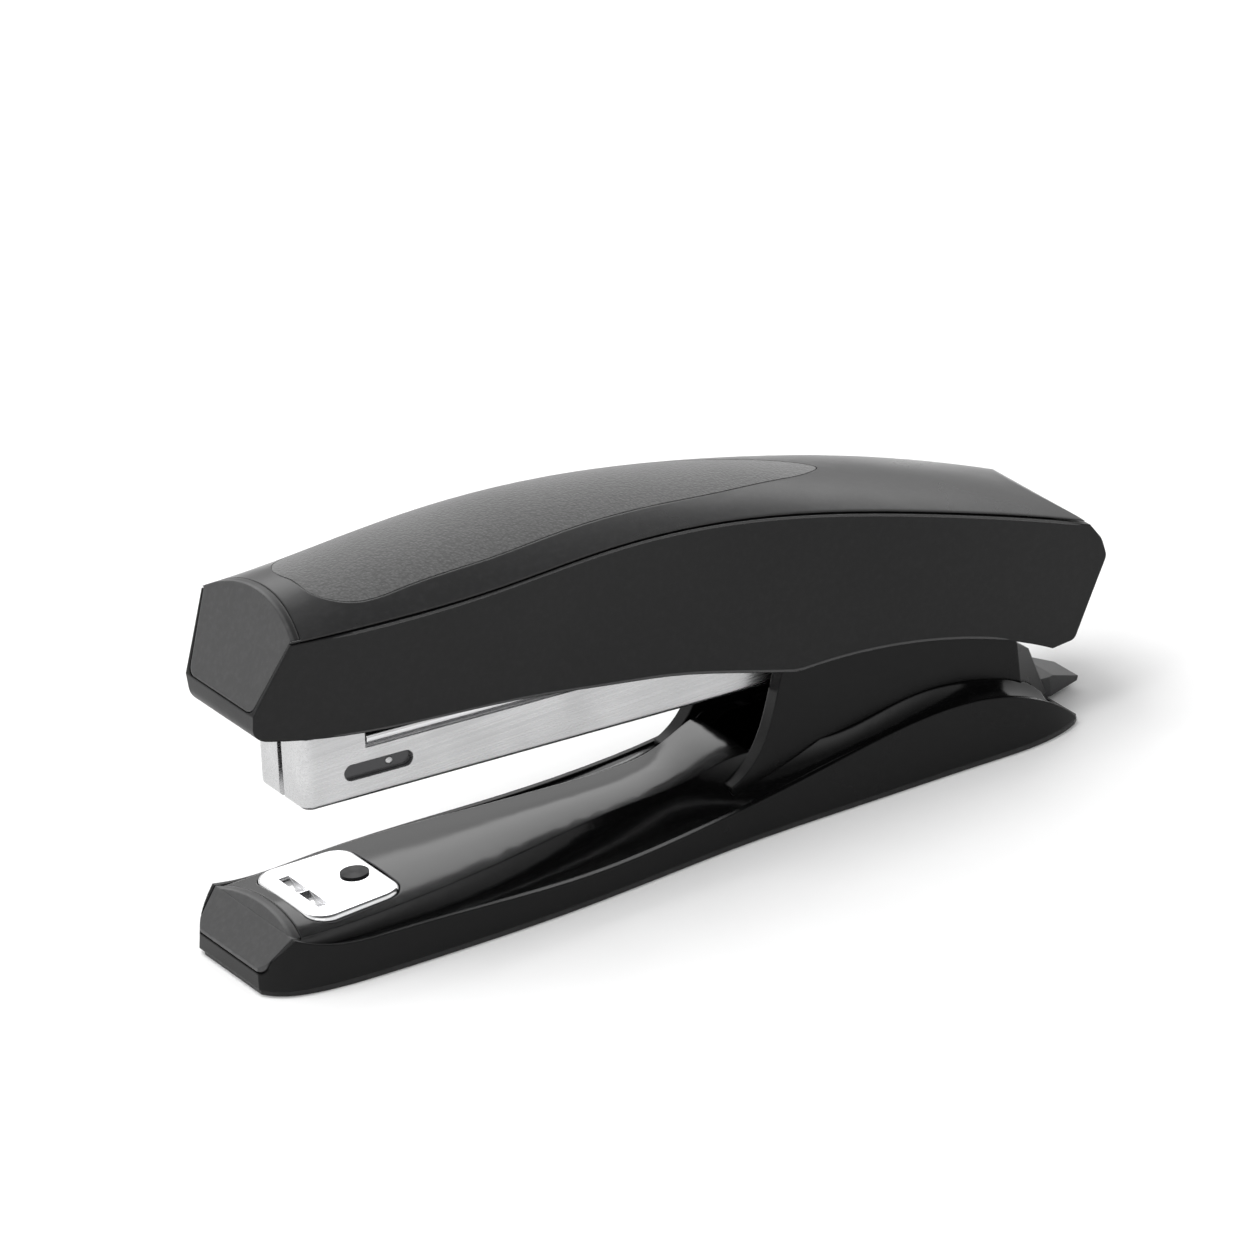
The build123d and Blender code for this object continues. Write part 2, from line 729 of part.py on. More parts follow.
with BuildPart() as anvil_rivet:
    with BuildSketch(Plane.XY.offset(anvil_top + 0.02)):
        with Locations((along(rivet_distance), 0)):
            Circle(2.45)
    extrude(amount=0.3)
    with BuildSketch(Plane.XY.offset(7.2)):
        with Locations((along(rivet_distance), 0)):
            Circle(1.2)
    extrude(amount=anvil_top - 7.1)
save("anvil_rivet", anvil_rivet.part)

with BuildPart() as rear_housing:
    with BuildSketch(Plane.XZ):
        with BuildLine():
            front = Spline(profile([(89.5, 8.6), (96, 13.8), (99.6, 21.4), (101.1, 25.5), (103.4, 31)]))
            crown_line = profile([(122, 31.4), (138, 27.5), (146.5, 16.6), (150.0, 13.6), (154.2, 3.0), (89.5, 3.0)])
            Polyline([front @ 1] + crown_line + [front @ 0])
        make_face()
    extrude(amount=cheek_outer, both=True)
    with BuildSketch(Plane.XZ):
        with Locations((along(60), 20)):
            Rectangle(2 * (well_end - 60), 60)
    extrude(amount=cheek_inner, both=True, mode=Mode.SUBTRACT)
    # blind holes for the pin
    with BuildSketch(Plane.XZ):
        with Locations(pivot):
            Circle(pin_radius + 0.02)
    extrude(amount=pin_half_length + 0.05, both=True, mode=Mode.SUBTRACT)
    # the cheeks turn in towards the rear wall
    with BuildSketch(Plane.XY):
        for side in (-1, 1):
            Polygon(
                (along(cheek_bend), side * (cheek_outer + 0.1)), (along(158), side * (cheek_outer + 0.1)),
                (along(158), side * 4.8), align=None,
            )
    extrude(amount=40, mode=Mode.SUBTRACT)
    add(deck_form.part, mode=Mode.SUBTRACT)
    add(base_form.part, mode=Mode.SUBTRACT)
    add(tongue(0.1), mode=Mode.SUBTRACT)
save("rear_housing", rear_housing.part)

with BuildPart() as pivot_pin:
    with BuildSketch(Plane.XZ):
        with Locations(pivot):
            Circle(pin_radius)
    extrude(amount=pin_half_length, both=True)
save("pivot_pin", pivot_pin.part)

with BuildPart() as base_plate:
    with BuildSketch(Plane.XY.offset(tray_floor + 0.05)):
        with Locations((along(80), 0)):
            Rectangle(132, 14)
    extrude(amount=plate_thickness)
    with BuildSketch(Plane.XY.offset(tray_floor)):
        with Locations((along(40), 0), (along(64), 0), (along(88), 0)):
            Circle(3.4)
    extrude(amount=5, mode=Mode.SUBTRACT)
save("base_plate", base_plate.part)

with BuildPart() as staple_remover:
    add(tongue(0))
save("staple_remover", staple_remover.part)

with BuildPart() as sole_pad:
    extrude(base_outline(0, 0.6), amount=sole_thickness - 0.05)
save("sole_pad", sole_pad.part)

with BuildPart() as base_screws:
    with BuildSketch(Plane.XY.offset(sole_thickness)):
        with Locations(screw_places):
            Circle(1.0)
    extrude(amount=5.5)
save("base_screws", base_screws.part)
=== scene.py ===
# %% [markdown]
# # A desk stapler, dressed for its portrait
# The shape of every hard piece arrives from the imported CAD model, which stands here as a fixed frame.
# This lesson gives each of those pieces its real finish, adds the few pieces that are better grown
# as surfaces, and lights the result like a catalogue picture.

# %% Load the frame
import json

import bpy
import numpy as np
from mathutils import Matrix, Vector


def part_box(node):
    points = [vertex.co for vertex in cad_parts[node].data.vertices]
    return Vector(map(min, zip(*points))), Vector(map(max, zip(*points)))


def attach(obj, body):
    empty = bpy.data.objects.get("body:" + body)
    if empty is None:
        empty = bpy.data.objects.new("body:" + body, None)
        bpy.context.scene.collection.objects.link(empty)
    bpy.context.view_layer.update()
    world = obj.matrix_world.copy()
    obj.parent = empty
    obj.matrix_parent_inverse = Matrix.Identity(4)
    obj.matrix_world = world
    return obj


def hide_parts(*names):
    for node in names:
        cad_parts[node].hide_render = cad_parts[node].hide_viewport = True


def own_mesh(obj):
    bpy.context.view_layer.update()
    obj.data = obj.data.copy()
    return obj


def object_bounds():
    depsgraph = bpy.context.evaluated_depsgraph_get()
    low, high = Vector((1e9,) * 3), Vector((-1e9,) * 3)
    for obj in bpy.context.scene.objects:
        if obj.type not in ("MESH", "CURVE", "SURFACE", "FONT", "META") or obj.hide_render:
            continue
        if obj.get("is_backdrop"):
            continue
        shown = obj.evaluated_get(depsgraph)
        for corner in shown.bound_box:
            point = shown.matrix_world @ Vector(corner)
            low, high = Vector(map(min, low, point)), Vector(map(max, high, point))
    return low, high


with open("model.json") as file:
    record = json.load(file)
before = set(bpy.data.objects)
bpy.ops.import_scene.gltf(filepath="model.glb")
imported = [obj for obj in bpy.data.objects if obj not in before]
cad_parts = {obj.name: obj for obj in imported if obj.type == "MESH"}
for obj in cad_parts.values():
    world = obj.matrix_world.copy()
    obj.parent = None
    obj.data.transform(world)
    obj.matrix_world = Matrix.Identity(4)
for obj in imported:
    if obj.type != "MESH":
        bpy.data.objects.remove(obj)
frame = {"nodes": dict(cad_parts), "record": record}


def write_size(key):
    low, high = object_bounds()
    sizes[key] = [[float(v) for v in low], [float(v) for v in high]]
    return sizes[key]


sizes = {}
print("box on loading", write_size("loaded"))
nodes = frame["nodes"]

# %% [markdown]
# ## The magazine's own directions
# At rest the magazine tips down towards the tail by a few degrees. Anything that lies along it is
# placed with two unit vectors, one along it and one up from its floor, and `extent` reads how far a
# CAD piece reaches in either direction.

# %% Directions and reach
tilt = np.radians(3.75)
lean = np.array([np.cos(tilt), 0.0, -np.sin(tilt)])
rise = np.array([np.sin(tilt), 0.0, np.cos(tilt)])
across = np.array([0.0, 1.0, 0.0])


def mesh_points(name):
    """Every vertex of a CAD piece, one row each."""
    points = np.empty(len(nodes[name].data.vertices) * 3)
    nodes[name].data.vertices.foreach_get("co", points)
    return points.reshape(-1, 3)


def extent(name, direction):
    """How far a CAD piece reaches along a direction: lowest and highest value."""
    reach = mesh_points(name) @ direction
    return reach.min(), reach.max()


floor_sheet = 0.00085  # the case's floor lies this far below the liner
front_u = extent("magazine_case", lean)[0]
floor_h = extent("magazine_liner", rise)[0] - floor_sheet
print("magazine front at", round(front_u, 4), "and floor at", round(floor_h, 4))

# %% [markdown]
# ## A small tool for building finishes
# Cycles finishes are little graphs. Writing them node by node is long, so `Finish` keeps the graph
# of one material and adds nodes by name. Every texture reads the object coordinates, which are
# metres here, so a noise scale of 1000 gives spots about one millimetre across.

# %% A helper that grows shader graphs


class Finish:
    """One procedural material around a Principled shader."""

    def __init__(self, name, **values):
        self.material = bpy.data.materials.new(name)
        self.material.use_nodes = True
        self.graph = self.material.node_tree
        self.shader = self.graph.nodes["Principled BSDF"]
        for socket, value in values.items():
            self.shader.inputs[socket.replace("_", " ")].default_value = value
        self.normal = None

    def add(self, kind, inputs=None, **settings):
        """Add a node; inputs maps socket names or numbers to values or to other sockets."""
        node = self.graph.nodes.new(kind)
        for setting, value in settings.items():
            setattr(node, setting, value)
        for socket, value in (inputs or {}).items():
            if isinstance(value, bpy.types.NodeSocket):
                self.graph.links.new(value, node.inputs[socket])
            else:
                node.inputs[socket].default_value = value
        return node

    def place(self, stretch=(1, 1, 1), turn=(0, 0, 0)):
        """Object coordinates, turned and stretched for textures with a direction."""
        here = self.add("ShaderNodeTexCoord")
        mapped = self.add(
            "ShaderNodeMapping",
            {"Vector": here.outputs["Object"], "Scale": stretch, "Rotation": turn},
        )
        return mapped.outputs["Vector"]

    def noise(self, scale, detail=2.0, roughness=0.5, place=None):
        """A grey noise pattern around 0.5."""
        where = self.place() if place is None else place
        texture = self.add(
            "ShaderNodeTexNoise",
            {"Vector": where, "Scale": scale, "Detail": detail, "Roughness": roughness},
        )
        return texture.outputs["Fac"]

    def cells(self, scale):
        """Soft distances in a Voronoi pattern, for the cells of a leather grain."""
        texture = self.add(
            "ShaderNodeTexVoronoi", {"Vector": self.place(), "Scale": scale}, feature="SMOOTH_F1"
        )
        return texture.outputs["Distance"]

    def spread(self, value, low, high, from_low=0.3, from_high=0.7):
        """Stretch a 0..1 pattern onto low..high."""
        node = self.add(
            "ShaderNodeMapRange",
            {"Value": value, "From Min": from_low, "From Max": from_high, "To Min": low, "To Max": high},
        )
        return node.outputs["Result"]

    def beyond(self, direction, start, end):
        """0 short of start and 1 past end, measured in metres along a direction."""
        here = self.add("ShaderNodeTexCoord").outputs["Object"]
        reach = self.add("ShaderNodeVectorMath", {0: here, 1: tuple(direction)}, operation="DOT_PRODUCT")
        return self.spread(reach.outputs["Value"], 0.0, 1.0, start, end)

    def tint(self, factor, first, second):
        """A colour between two, by a 0..1 pattern."""
        node = self.add("ShaderNodeMix", data_type="RGBA")
        self.graph.links.new(factor, node.inputs["Factor"])
        node.inputs["A"].default_value = (*first, 1)
        node.inputs["B"].default_value = (*second, 1)
        return node.outputs["Result"]

    def bump(self, height, depth, strength=1.0):
        """Raise the surface by a pattern; depth is the height of a full step in metres."""
        inputs = {"Height": height, "Distance": depth, "Strength": strength}
        if self.normal is not None:
            inputs["Normal"] = self.normal
        self.normal = self.add("ShaderNodeBump", inputs).outputs["Normal"]
        self.graph.links.new(self.normal, self.shader.inputs["Normal"])

    def soften(self, radius):
        """Round every sharp edge for the light by a small radius in metres."""
        self.normal = self.add("ShaderNodeBevel", {"Radius": radius}, samples=6).outputs["Normal"]
        self.graph.links.new(self.normal, self.shader.inputs["Normal"])

    def drive(self, socket, value):
        """Feed a pattern into a socket of the shader."""
        self.graph.links.new(value, self.shader.inputs[socket])


finishes = {}
print("finish builder ready")

# %% [markdown]
# ## Moulded plastics
# Injection-moulded ABS copies its steel mould. A spark-eroded mould leaves a fine even grain on the
# side shell, a finer one leaves satin, and a polished one leaves high gloss. They all share one
# recipe: grain sets the bump, a broad noise makes the sheen a little uneven from handling, and thin
# scratches run along the length.

# %% Plastic finishes


def moulded(name, colour, rough, grain_scale, grain_depth, gloss=0.5, uneven=0.05):
    """Moulded plastic with grain, uneven sheen, faint scratches and slightly rounded edges."""
    finish = Finish(name, Metallic=0.0, IOR=1.46, Specular_IOR_Level=gloss)
    finish.soften(4e-4)
    cloud = finish.noise(45.0, detail=4.0)
    finish.drive("Roughness", finish.spread(cloud, rough - uneven, rough + uneven))
    dust = finish.noise(900.0, detail=3.0, roughness=0.7)
    paler = tuple(c * 1.35 + 0.001 for c in colour)
    finish.drive("Base Color", finish.tint(finish.spread(dust, 0.0, 1.0, 0.45, 0.75), colour, paler))
    finish.bump(finish.noise(grain_scale, detail=3.0, roughness=0.6), grain_depth)
    lines = finish.noise(1.0, detail=2.0, place=finish.place((25.0, 2600.0, 1800.0), (0.0, 0.09, 0.05)))
    finish.bump(finish.spread(lines, 0.0, 1.0, 0.62, 0.72), 2e-6, 0.5)
    finishes[name] = finish.material
    return finish


moulded("shell_plastic", (0.0050, 0.0050, 0.0052), 0.38, 5200.0, 1.4e-5, gloss=0.24)
moulded("deck_plastic", (0.014, 0.014, 0.0143), 0.30, 6500.0, 6e-6, gloss=0.50)
panel = moulded("panel_plastic", (0.034, 0.034, 0.0345), 0.38, 6500.0, 7e-6)
moulded("housing_plastic", (0.0022, 0.0022, 0.0023), 0.24, 6200.0, 4e-6, gloss=0.20)
# The edge plastic is the shell's black made four times paler: a painted highlight on the lip and seam
# beads.
moulded("edge_plastic", (0.020, 0.020, 0.0202), 0.22, 7000.0, 2e-6, gloss=0.7)
moulded("inner_plastic", (0.012, 0.012, 0.012), 0.5, 3000.0, 1.2e-5)
moulded("remover_plastic", (0.02, 0.02, 0.021), 0.42, 5200.0, 1e-5)
moulded("gloss_black", (0.0022, 0.0022, 0.0023), 0.12, 300.0, 1.0e-6, uneven=0.02)
print("plastics:", sorted(finishes))

# %% [markdown]
# ## Rims of the nose panels
# Both nose panels wear their pale satin on the face alone. Their rims show beside the curved decks
# and take the decks' dark tone. A face is a plane, so the reach along its normal tells the two
# apart; the handle's plane counts only above a level that lies between the two panels.

# %% Panel rims


def behind_face(name, normal):
    """1 behind the face of a nose panel and 0 on it, by the reach along the face's normal."""
    face = extent(name, np.array(normal))[1]
    return panel.beyond([-part for part in normal], 0.0004 - face, 0.0007 - face)


rim_tone = (0.007, 0.007, 0.0072, 1.0)
handle_rim = behind_face("nose_panel", (-0.8774, 0.0, 0.4798))
base_rim = behind_face("base_nose_panel", (-0.6612, 0.0, 0.7502))
upper = panel.beyond((0.0, 0.0, 1.0), 0.030, 0.031)
on_handle = panel.add("ShaderNodeMath", {0: handle_rim, 1: upper}, operation="MULTIPLY").outputs[0]
rim = panel.add("ShaderNodeMath", {0: on_handle, 1: base_rim}, operation="MAXIMUM").outputs[0]
satin = panel.shader.inputs["Base Color"].links[0].from_socket
two_tone = panel.add("ShaderNodeMix", {"Factor": rim, "B": rim_tone}, data_type="RGBA")
panel.graph.links.new(satin, two_tone.inputs["A"])
panel.drive("Base Color", two_tone.outputs["Result"])
print("rims of the nose panels toned down to", rim_tone[:3])

# %% [markdown]
# ## Leather-grained grip and rubber sole
# The grip is an overmoulded soft rubber with a leather pattern: rounded cells of several sizes with
# valleys between them, and tiny pores on the cells. Rubber scatters light widely, so it looks paler
# than the hard shell under the same lamp. The sole has a coarser, duller skin.

# %% Rubber finishes


def grained_rubber(name, colour, cell_scale, cell_depth, rough):
    """Rubber with a leather grain: cell valleys, a second finer size, and pores."""
    finish = Finish(name, Metallic=0.0, IOR=1.45, Roughness=rough)
    finish.shader.inputs["Sheen Weight"].default_value = 0.35
    finish.shader.inputs["Sheen Roughness"].default_value = 0.45
    big = finish.cells(cell_scale)
    small = finish.cells(cell_scale * 2.3)
    finish.bump(finish.spread(big, 1.0, 0.0, 0.1, 0.7), cell_depth)
    finish.bump(finish.spread(small, 1.0, 0.0, 0.1, 0.7), cell_depth * 0.5)
    finish.bump(finish.noise(cell_scale * 6.0, detail=2.0), cell_depth * 0.25)
    worn = finish.noise(30.0, detail=3.0)
    finish.drive("Roughness", finish.spread(worn, rough - 0.08, rough + 0.08))
    paler = tuple(c * 1.5 for c in colour)
    finish.drive("Base Color", finish.tint(finish.spread(big, 0.0, 1.0, 0.1, 0.6), paler, colour))
    finishes[name] = finish.material


grained_rubber("grip_rubber", (0.056, 0.056, 0.056), 2100.0, 5e-5, 0.62)
grained_rubber("sole_rubber", (0.012, 0.012, 0.012), 700.0, 5e-5, 0.75)
print("rubbers ready")

# %% [markdown]
# ## Metals
# Brushed sheet carries thousands of fine lines along the direction of rolling. Stretching a noise a
# hundredfold along one axis draws such lines: they move the roughness, the tone and the bump
# together. Plated and polished metal has almost none of that, only a soft unevenness in the mirror.

# %% Metal finishes


def brushed(name, colour, rough, turn=(0.0, 0.0, 0.0), stretch=(14.0, 2400.0, 2400.0), depth=3e-6,
            contrast=0.2, painted_shade_below=None):
    """Metal with fine parallel lines along its longest axis; the last argument paints it dark grey below a
    level, as painted shade.
    """
    finish = Finish(name, Metallic=1.0)
    finish.soften(2e-4)
    lines = finish.noise(1.0, detail=5.0, roughness=0.65, place=finish.place(stretch, turn))
    cloud = finish.noise(70.0, detail=4.0)
    finish.drive("Roughness", finish.spread(lines, rough - 0.07, rough + 0.09))
    darker = tuple(c * (1.0 - contrast) for c in colour)
    both = finish.add("ShaderNodeMath", {0: lines, 1: cloud}, operation="MULTIPLY").outputs[0]
    tone = finish.tint(finish.spread(both, 0.0, 1.0, 0.15, 0.35), darker, colour)
    # Painted shade: below the level the steel turns dark grey, standing in for the shadow inside the
    # magazine under the rail.
    if painted_shade_below:
        mask = finish.beyond(*painted_shade_below)
        shade = (0.07, 0.07, 0.072, 1.0)
        blend = finish.add("ShaderNodeMix", {"Factor": mask, "A": shade}, data_type="RGBA")
        finish.graph.links.new(tone, blend.inputs["B"])
        tone = blend.outputs["Result"]
    finish.drive("Base Color", tone)
    finish.shader.inputs["Anisotropic"].default_value = 0.35
    finish.bump(lines, depth)
    finishes[name] = finish.material


brushed("case_steel", (0.56, 0.56, 0.565), 0.26, (0.0, -tilt, 0.0))
rail_start, rail_end = floor_h + 0.0080, floor_h + 0.0086  # where the bright rolled rail begins
# The liner below the rail is painted dark grey as the shade inside the magazine; above it the bright steel
# shows.
brushed("liner_steel", (0.74, 0.74, 0.75), 0.20, (0.0, -tilt, 0.0), contrast=0.12,
        painted_shade_below=(rise, rail_start, rail_end))
brushed("frame_steel", (0.40, 0.40, 0.41), 0.36)
brushed("pusher_steel", (0.38, 0.38, 0.39), 0.34)
brushed("pin_steel", (0.10, 0.10, 0.10), 0.40, stretch=(2400.0, 30.0, 2400.0))
brushed("blade_steel", (0.42, 0.42, 0.43), 0.26, stretch=(2400.0, 2400.0, 30.0))
brushed("staple_wire", (0.58, 0.58, 0.59), 0.24, stretch=(1900.0, 20.0, 20.0), depth=3e-5, contrast=0.5)
brushed("spring_steel", (0.42, 0.42, 0.43), 0.28, stretch=(900.0, 900.0, 900.0))
brushed("rivet_steel", (0.42, 0.42, 0.43), 0.30, stretch=(900.0, 900.0, 900.0))
brushed("rivet_dark", (0.020, 0.020, 0.021), 0.38, stretch=(700.0, 700.0, 700.0))
brushed("anvil_chrome", (0.86, 0.86, 0.87), 0.10, stretch=(160.0, 160.0, 160.0), depth=1e-6, contrast=0.04)
print("metals ready,", len(finishes), "finishes in all")

# %% [markdown]
# ## Dress the frame
# Each CAD piece names the finish it should take in the record. One loop hands the new materials to
# the pieces' own material slots, so their shapes stay exactly as they were packed.

# %% Give every piece its finish
slot_of = {part["node"]: part["material_slot"] for part in frame["record"]["subparts"]}
for name, piece in nodes.items():
    for slot in piece.material_slots:
        slot.material = finishes[slot_of[name]]
print("dressed", len(slot_of), "pieces")

# %% [markdown]
# ## Surfaces from two parameters
# Wire and small rounded trim are easiest to describe as a formula: walk along a path with the first
# parameter and round a section with the second. `surface` turns such a grid of points into a closed
# mesh, with one extra point at each end where the section closes to a cap.

# %% A grid of points becomes a mesh


def surface(name, grids, body, finish, replaced=()):
    """One smooth mesh from tubes of shape (tubes, along, round, 3), each capped at both ends.

    Every four neighbours on the grid make a quad, the last column joins the first, and a fan of
    triangles round the mean point of an end ring closes it.
    """
    tubes, rows, ring = grids.shape[:3]
    size = rows * ring + 2
    caps = np.stack([grids[:, 0].mean(axis=1), grids[:, -1].mean(axis=1)], axis=1)
    points = np.concatenate([grids.reshape(tubes, rows * ring, 3), caps], axis=1).reshape(-1, 3)
    row, turn = np.meshgrid(np.arange(rows - 1), np.arange(ring), indexing="ij")
    after = (turn + 1) % ring
    here, there = row * ring, (row + 1) * ring
    quads = np.stack([here + turn, there + turn, there + after, here + after], -1)
    rim = np.arange(ring)
    following = (rim + 1) % ring
    last = (rows - 1) * ring
    first_cap = np.stack([np.full(ring, rows * ring), rim, following], -1)
    last_cap = np.stack([np.full(ring, rows * ring + 1), last + following, last + rim], -1)
    offsets = (np.arange(tubes) * size)[:, None, None]
    quads = (quads.reshape(1, -1, 4) + offsets).reshape(-1, 4)
    triangles = (np.concatenate([first_cap, last_cap])[None] + offsets).reshape(-1, 3)
    mesh = bpy.data.meshes.new(name)
    mesh.vertices.add(len(points))
    mesh.vertices.foreach_set("co", points.ravel())
    mesh.loops.add(quads.size + triangles.size)
    mesh.loops.foreach_set("vertex_index", np.concatenate([quads.ravel(), triangles.ravel()]))
    starts = np.concatenate([np.arange(len(quads)) * 4, quads.size + np.arange(len(triangles)) * 3])
    mesh.polygons.add(len(starts))
    mesh.polygons.foreach_set("loop_start", starts)
    mesh.polygons.foreach_set("use_smooth", np.ones(len(starts), dtype=bool))
    mesh.update(calc_edges=True)
    mesh.validate()
    mesh.materials.append(finishes[finish])
    piece = bpy.data.objects.new(name, mesh)
    bpy.context.scene.collection.objects.link(piece)
    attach(piece, body)
    if replaced:
        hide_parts(*replaced)
    print(name, len(points), "points")
    return piece


# %% [markdown]
# ## The coil springs
# A compression spring is wire wound on a mandrel, with a dead coil at each end that lies flat. The
# centre line is a helix whose climb eases in and out, and the wire's round section follows it. Both
# ends are ground and taper away over the last few degrees. Two of the springs get mesh data of their own.

# %% Springs


def coil(name, body, base, direction, side, radius, wire, length, turns):
    """Helix: centre = base + climb(t) * direction + radius * (cos a, sin a) in the plane across it.

    The angle a grows evenly to 2 pi * turns; climb(t) is flat for the dead coils and even between.
    """
    points_per_turn = 36
    along_wire = np.linspace(0.0, 1.0, int(turns * points_per_turn))
    angle = 2 * np.pi * turns * along_wire
    dead = 0.8 / turns  # share of the wire in each dead coil
    climb = np.clip((along_wire - dead) / (1 - 2 * dead), 0, 1) * (length - 4 * wire)
    climb += wire + 2 * wire * np.clip(np.minimum(along_wire / dead, 1), 0, 1) * 0.5
    climb += wire * np.clip((along_wire - 1 + dead) / dead, 0, 1)
    second = np.cross(direction, side)
    spoke = np.cos(angle)[:, None] * side + np.sin(angle)[:, None] * second
    centre = base + climb[:, None] * direction + radius * spoke
    taper = np.clip(np.minimum(along_wire, 1 - along_wire) * turns * 12, 0.05, 1) ** 0.5
    section = np.linspace(0, 2 * np.pi, 12, endpoint=False)
    out = np.cos(section)[None, :, None] * spoke[:, None]
    up = np.sin(section)[None, :, None] * direction
    grid = centre[:, None] + (wire * taper)[:, None, None] * (out + up)
    return surface(name + "_wire", grid[None], body, "spring_steel", [name])


upward_axis = np.array([0.0, 0.0, 1.0])
lengthwise = np.array([1.0, 0.0, 0.0])
for name, body, direction, side, wire, turns in (
    ("lift_spring", "base", upward_axis, lengthwise, 0.00045, 6.5),
    ("handle_spring", "magazine", upward_axis, lengthwise, 0.00045, 5.5),
    ("pusher_spring", "magazine", lean, across, 0.00025, 26.0),
):
    low, high = extent(name, direction)
    middle = np.array([sum(extent(name, axis)) / 2 for axis in np.eye(3)])
    inner, outer = extent(name, side)
    length = high - low
    base = middle + direction * (low - middle @ direction)
    wound = coil(name, body, base, direction, side, (outer - inner) / 2 - wire, wire, length, turns)
    if name == "lift_spring":
        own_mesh(wound)
    if name == "pusher_spring":
        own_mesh(wound)

# %% [markdown]
# ## The strip of staples
# Staples come glued in a strip: each is a flat-drawn wire bent to a U, and they stand shoulder to
# shoulder. One staple is a section carried along a U path with rounded corners; the strip is that
# staple repeated at the wire's pitch, which gives the fine ribs across the top.

# %% Staple strip
pitch, thickness, corner, leg = 0.00052, 0.00046, 0.0006, 0.006
low_u, high_u = extent("staple_strip", lean)
high_h = extent("staple_strip", rise)[1]
half_y = extent("staple_strip", across)[1]
count = int((high_u - low_u) / pitch)
bend = np.linspace(0, np.pi / 2, 4)
right_y = half_y - thickness / 2 - corner + corner * np.cos(bend)
right_h = high_h - thickness / 2 - corner + corner * np.sin(bend)
foot_h = high_h - leg
path_y = np.concatenate([[half_y - thickness / 2], right_y, -right_y[::-1], [-half_y + thickness / 2]])
path_h = np.concatenate([[foot_h], right_h, right_h[::-1], [foot_h]])
path = path_y[:, None] * across + path_h[:, None] * rise
slope = np.gradient(path, axis=0)
slope /= np.linalg.norm(slope, axis=1)[:, None]
outward = np.cross(lean, slope)
section = np.linspace(0, 2 * np.pi, 6, endpoint=False) + np.pi / 6
wide = np.cos(section)[None, :, None] * outward[:, None] * thickness * 0.5
deep = np.sin(section)[None, :, None] * lean * pitch * 0.52
staple = path[:, None] + wide + deep
places = (low_u + pitch * (np.arange(count) + 0.5))[:, None] * lean
strip = staple[None] + places[:, None, None]
surface("staples", strip, "magazine", "staple_wire", ["staple_strip"])
print(count, "staples in the strip")

# %% [markdown]
# ## Locating pips in the side windows
# Behind each window a small pip pressed into the inner wall catches the light. It is a flat dome:
# its height falls with the cosine of a quarter turn from the middle to the rim.

# %% Window pips
pip_back, pip_height = 0.0161, 0.0050  # from the magazine's front and from its floor
pip_radius, pip_rise = 0.0007, 0.00045
fall = np.linspace(0.06, 1.0, 10)
ring = np.linspace(0, 2 * np.pi, 24, endpoint=False)
wall = extent("magazine_case", across)[1] - 0.0009
for side_name, sign in (("left", -1), ("right", 1)):
    middle = (front_u + pip_back) * lean + (floor_h + pip_height) * rise + sign * wall * across
    spread_out = pip_radius * np.sin(fall * np.pi / 2)
    proud = pip_rise * np.cos(fall * np.pi / 2)
    round_it = np.cos(ring)[None, :, None] * lean + sign * np.sin(ring)[None, :, None] * -rise
    dome = middle + spread_out[:, None, None] * round_it + sign * proud[:, None, None] * across
    surface("window_pip_" + side_name, dome[None], "magazine", "case_steel")

# %% [markdown]
# ## The rolled lip under the handle
# The side walls of the handle end in a thin rolled lip, which stiffens the edge and catches the
# light. `wall_edge` reads the wall's lowest line along the stapler, and the lip is a small round
# section carried along that line on each side, in a paler plastic than the shell: a painted highlight.

# %% Handle lip


def wall_edge(name, stations, way):
    """Height and half width of a CAD piece's lowest (way 1) or highest (way -1) line along X.

    A mesh edge from a to b crosses a station at a + t (b - a), with t the station's share of the way.
    """
    edges = nodes[name].data.edges
    ends = np.empty(len(edges) * 2, dtype=np.int32)
    edges.foreach_get("vertices", ends)
    first, second = mesh_points(name)[ends.reshape(-1, 2).T]
    run = second[:, 0] - first[:, 0]
    run = np.where(np.abs(run) < 1e-9, np.nan, run)
    share = (stations[:, None] - first[:, 0]) / run
    hit = (share >= 0) & (share <= 1)
    height = np.where(hit, way * (first[:, 2] + share * (second - first)[:, 2]), np.inf)
    width = first[:, 1] + share * (second - first)[:, 1]
    edge = height.min(axis=1)
    wide = np.where(height < edge[:, None] + 0.0002, width, -np.inf).max(axis=1)
    return way * edge, wide


def bead(name, stations, height, wide, way, radius, body):
    """A round bead along both walls, just inside their edge, with rounded ends."""
    step = np.arange(len(stations))
    ends = np.clip(np.minimum(step, len(stations) - 1 - step) / 3.0, 0.05, 1.0) ** 0.5
    section = np.linspace(0, 2 * np.pi, 12, endpoint=False)
    for side_name, sign in (("left", -1), ("right", 1)):
        level = height + way * radius * 0.9
        middle = np.stack([stations, sign * (wide - radius * 0.6), level], axis=1)
        around = np.stack([0 * section, sign * np.cos(section), sign * np.sin(section)], axis=1)
        tube = middle[:, None] + (radius * ends)[:, None, None] * around[None]
        # The edge plastic makes the bead paler than the shell, a painted highlight along the edge.
        surface(name + "_" + side_name, tube[::-sign][None], body, "edge_plastic")


lip_start, lip_end, lip_radius = 0.010, 0.141, 0.00032  # reach behind the shell's front, and size
shell_low, shell_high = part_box("handle_shell")
stations = np.linspace(shell_low[0] + lip_start, shell_low[0] + lip_end, 70)
low, wide = wall_edge("handle_shell", stations, 1)
print("lip half width from", wide.min().round(4), "to", wide.max().round(4))
bead("handle_lip", stations, low, wide, 1, lip_radius, "handle")
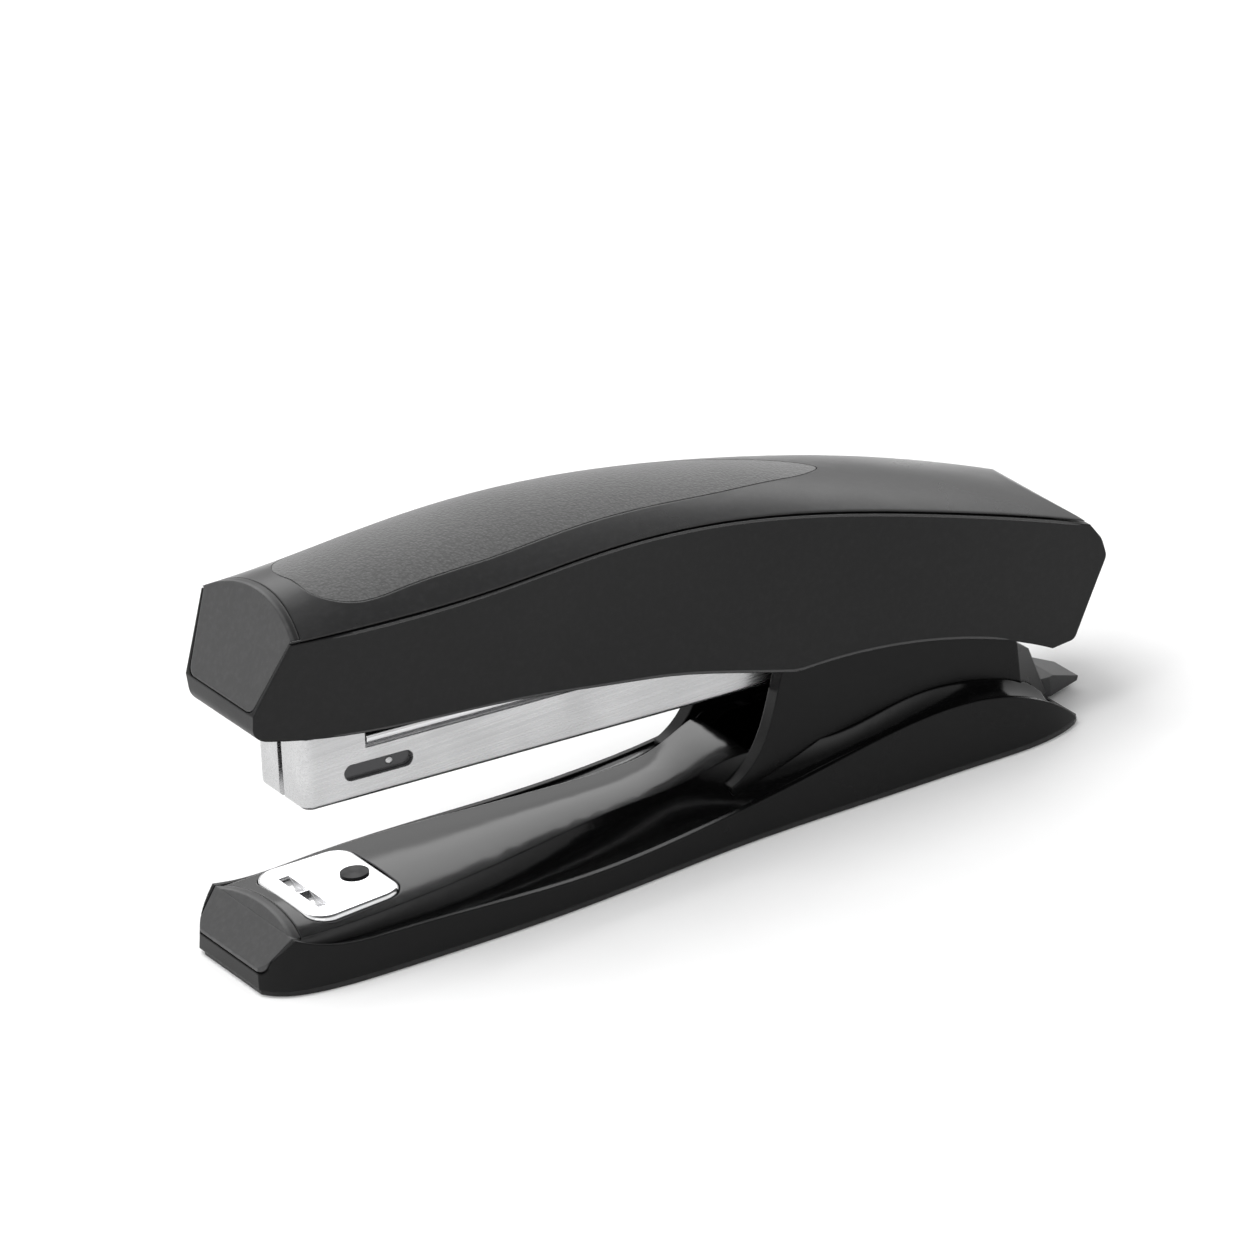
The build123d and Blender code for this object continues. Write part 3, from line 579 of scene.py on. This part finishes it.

# %% [markdown]
# ## The bright bevel under the seam
# Where the side shell meets the top there is a fine dark seam, and the shell's rim below it is
# broken by a tiny bevel that shows as a pale line. The same bead follows the shell's highest line;
# its paler plastic paints that pale line as a highlight.

# %% Seam bevel
seam_start, seam_end, bevel_radius = 0.013, 0.003, 0.00024  # short of the shell's ends, and size
stations = np.linspace(shell_low[0] + seam_start, shell_high[0] - seam_end, 100)
high, wide = wall_edge("handle_shell", stations, -1)
print("seam half width from", wide.min().round(4), "to", wide.max().round(4))
bead("seam_bevel", stations, high, wide, -1, bevel_radius, "handle")

# %% [markdown]
# ## Floor, light and camera
# A catalogue picture uses a seamless pale floor and large soft lamps, so that dark plastic shows its
# form through broad reflections. The key lamp hangs high over the nose, a long strip behind draws
# the bright edges, and a weak fill opens the shaded side.

# %% Floor
floor_mesh = bpy.data.meshes.new("floor")
floor_mesh.from_pydata([(-4, -4, 0), (4, -4, 0), (4, 4, 0), (-4, 4, 0)], [], [(0, 1, 2, 3)])
floor = bpy.data.objects.new("floor", floor_mesh)
bpy.context.scene.collection.objects.link(floor)
paper = Finish("floor_paper", Roughness=0.9)
fibres = paper.noise(60.0, detail=5.0)
paper.drive("Base Color", paper.tint(fibres, (0.86, 0.86, 0.86), (0.90, 0.90, 0.90)))
floor.data.materials.append(paper.material)
floor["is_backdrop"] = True
print("floor laid")

# %% Lamps


def softbox(name, place, target, size, power):
    """A rectangular area lamp at place, looking at target."""
    data = bpy.data.lights.new(name, "AREA")
    data.shape = "RECTANGLE"
    data.size, data.size_y = size
    data.energy = power
    lamp = bpy.data.objects.new(name, data)
    lamp.location = place
    lamp.rotation_euler = (Vector(target) - Vector(place)).to_track_quat("-Z", "Y").to_euler()
    bpy.context.scene.collection.objects.link(lamp)
    return lamp


middle_of_part = (0.0, 0.0, 0.03)
overhead = softbox("key", (-0.45, 0.1, 1.2), middle_of_part, (1.1, 0.9), 14.0)
overhead.visible_glossy = False
softbox("rim", (0.4, 0.9, 0.7), middle_of_part, (1.3, 0.5), 3.0)
softbox("fill", (-0.9, -0.5, 0.5), middle_of_part, (0.8, 0.8), 1.0)
world = bpy.data.worlds.new("studio")
world.use_nodes = True
graph = world.node_tree
sky = graph.nodes.new("ShaderNodeTexCoord")
parts = graph.nodes.new("ShaderNodeSeparateXYZ")
ramp = graph.nodes.new("ShaderNodeValToRGB")
stops = ramp.color_ramp.elements
stops[0].position, stops[0].color = 0.0, (0.45, 0.45, 0.45, 1.0)
stops[1].position, stops[1].color = 0.95, (0.12, 0.12, 0.12, 1.0)
for height, grey in ((0.30, 1.0), (0.58, 0.95)):
    stops.new(height).color = (grey, grey, grey, 1.0)
graph.links.new(sky.outputs["Generated"], parts.inputs["Vector"])
graph.links.new(parts.outputs["Z"], ramp.inputs["Fac"])
graph.links.new(ramp.outputs["Color"], graph.nodes["Background"].inputs["Color"])
graph.nodes["Background"].inputs["Strength"].default_value = 1.05
bpy.context.scene.world = world
bpy.context.scene.view_settings.view_transform = "Standard"
print("three lamps")

# %% Camera
camera = bpy.data.objects.new("camera", bpy.data.cameras.new("camera"))
camera.data.lens = 291.5
camera.data.sensor_width = 36.0
camera.data.clip_end = 20.0
stand = np.array([-0.70501, -1.32040, 0.72049])
azimuth, elevation, roll = np.radians([28.0, 24.5, 6.5])
level = np.array([np.cos(azimuth), -np.sin(azimuth), 0.0])
uphill = np.sin(elevation) * np.array([np.sin(azimuth), np.cos(azimuth), 0.0])
upward = uphill + np.array([0.0, 0.0, np.cos(elevation)])
right = np.cos(roll) * level - np.sin(roll) * upward
above = np.sin(roll) * level + np.cos(roll) * upward
backward = -np.cross(upward, level)
camera.matrix_world = Matrix(np.vstack([np.column_stack([right, above, backward, stand]), [0, 0, 0, 1]]))
bpy.context.scene.collection.objects.link(camera)
bpy.context.scene.camera = camera
print("camera at", [round(v, 3) for v in camera.matrix_world.translation])

# %% Finish
print("box at the end", write_size("finished"))
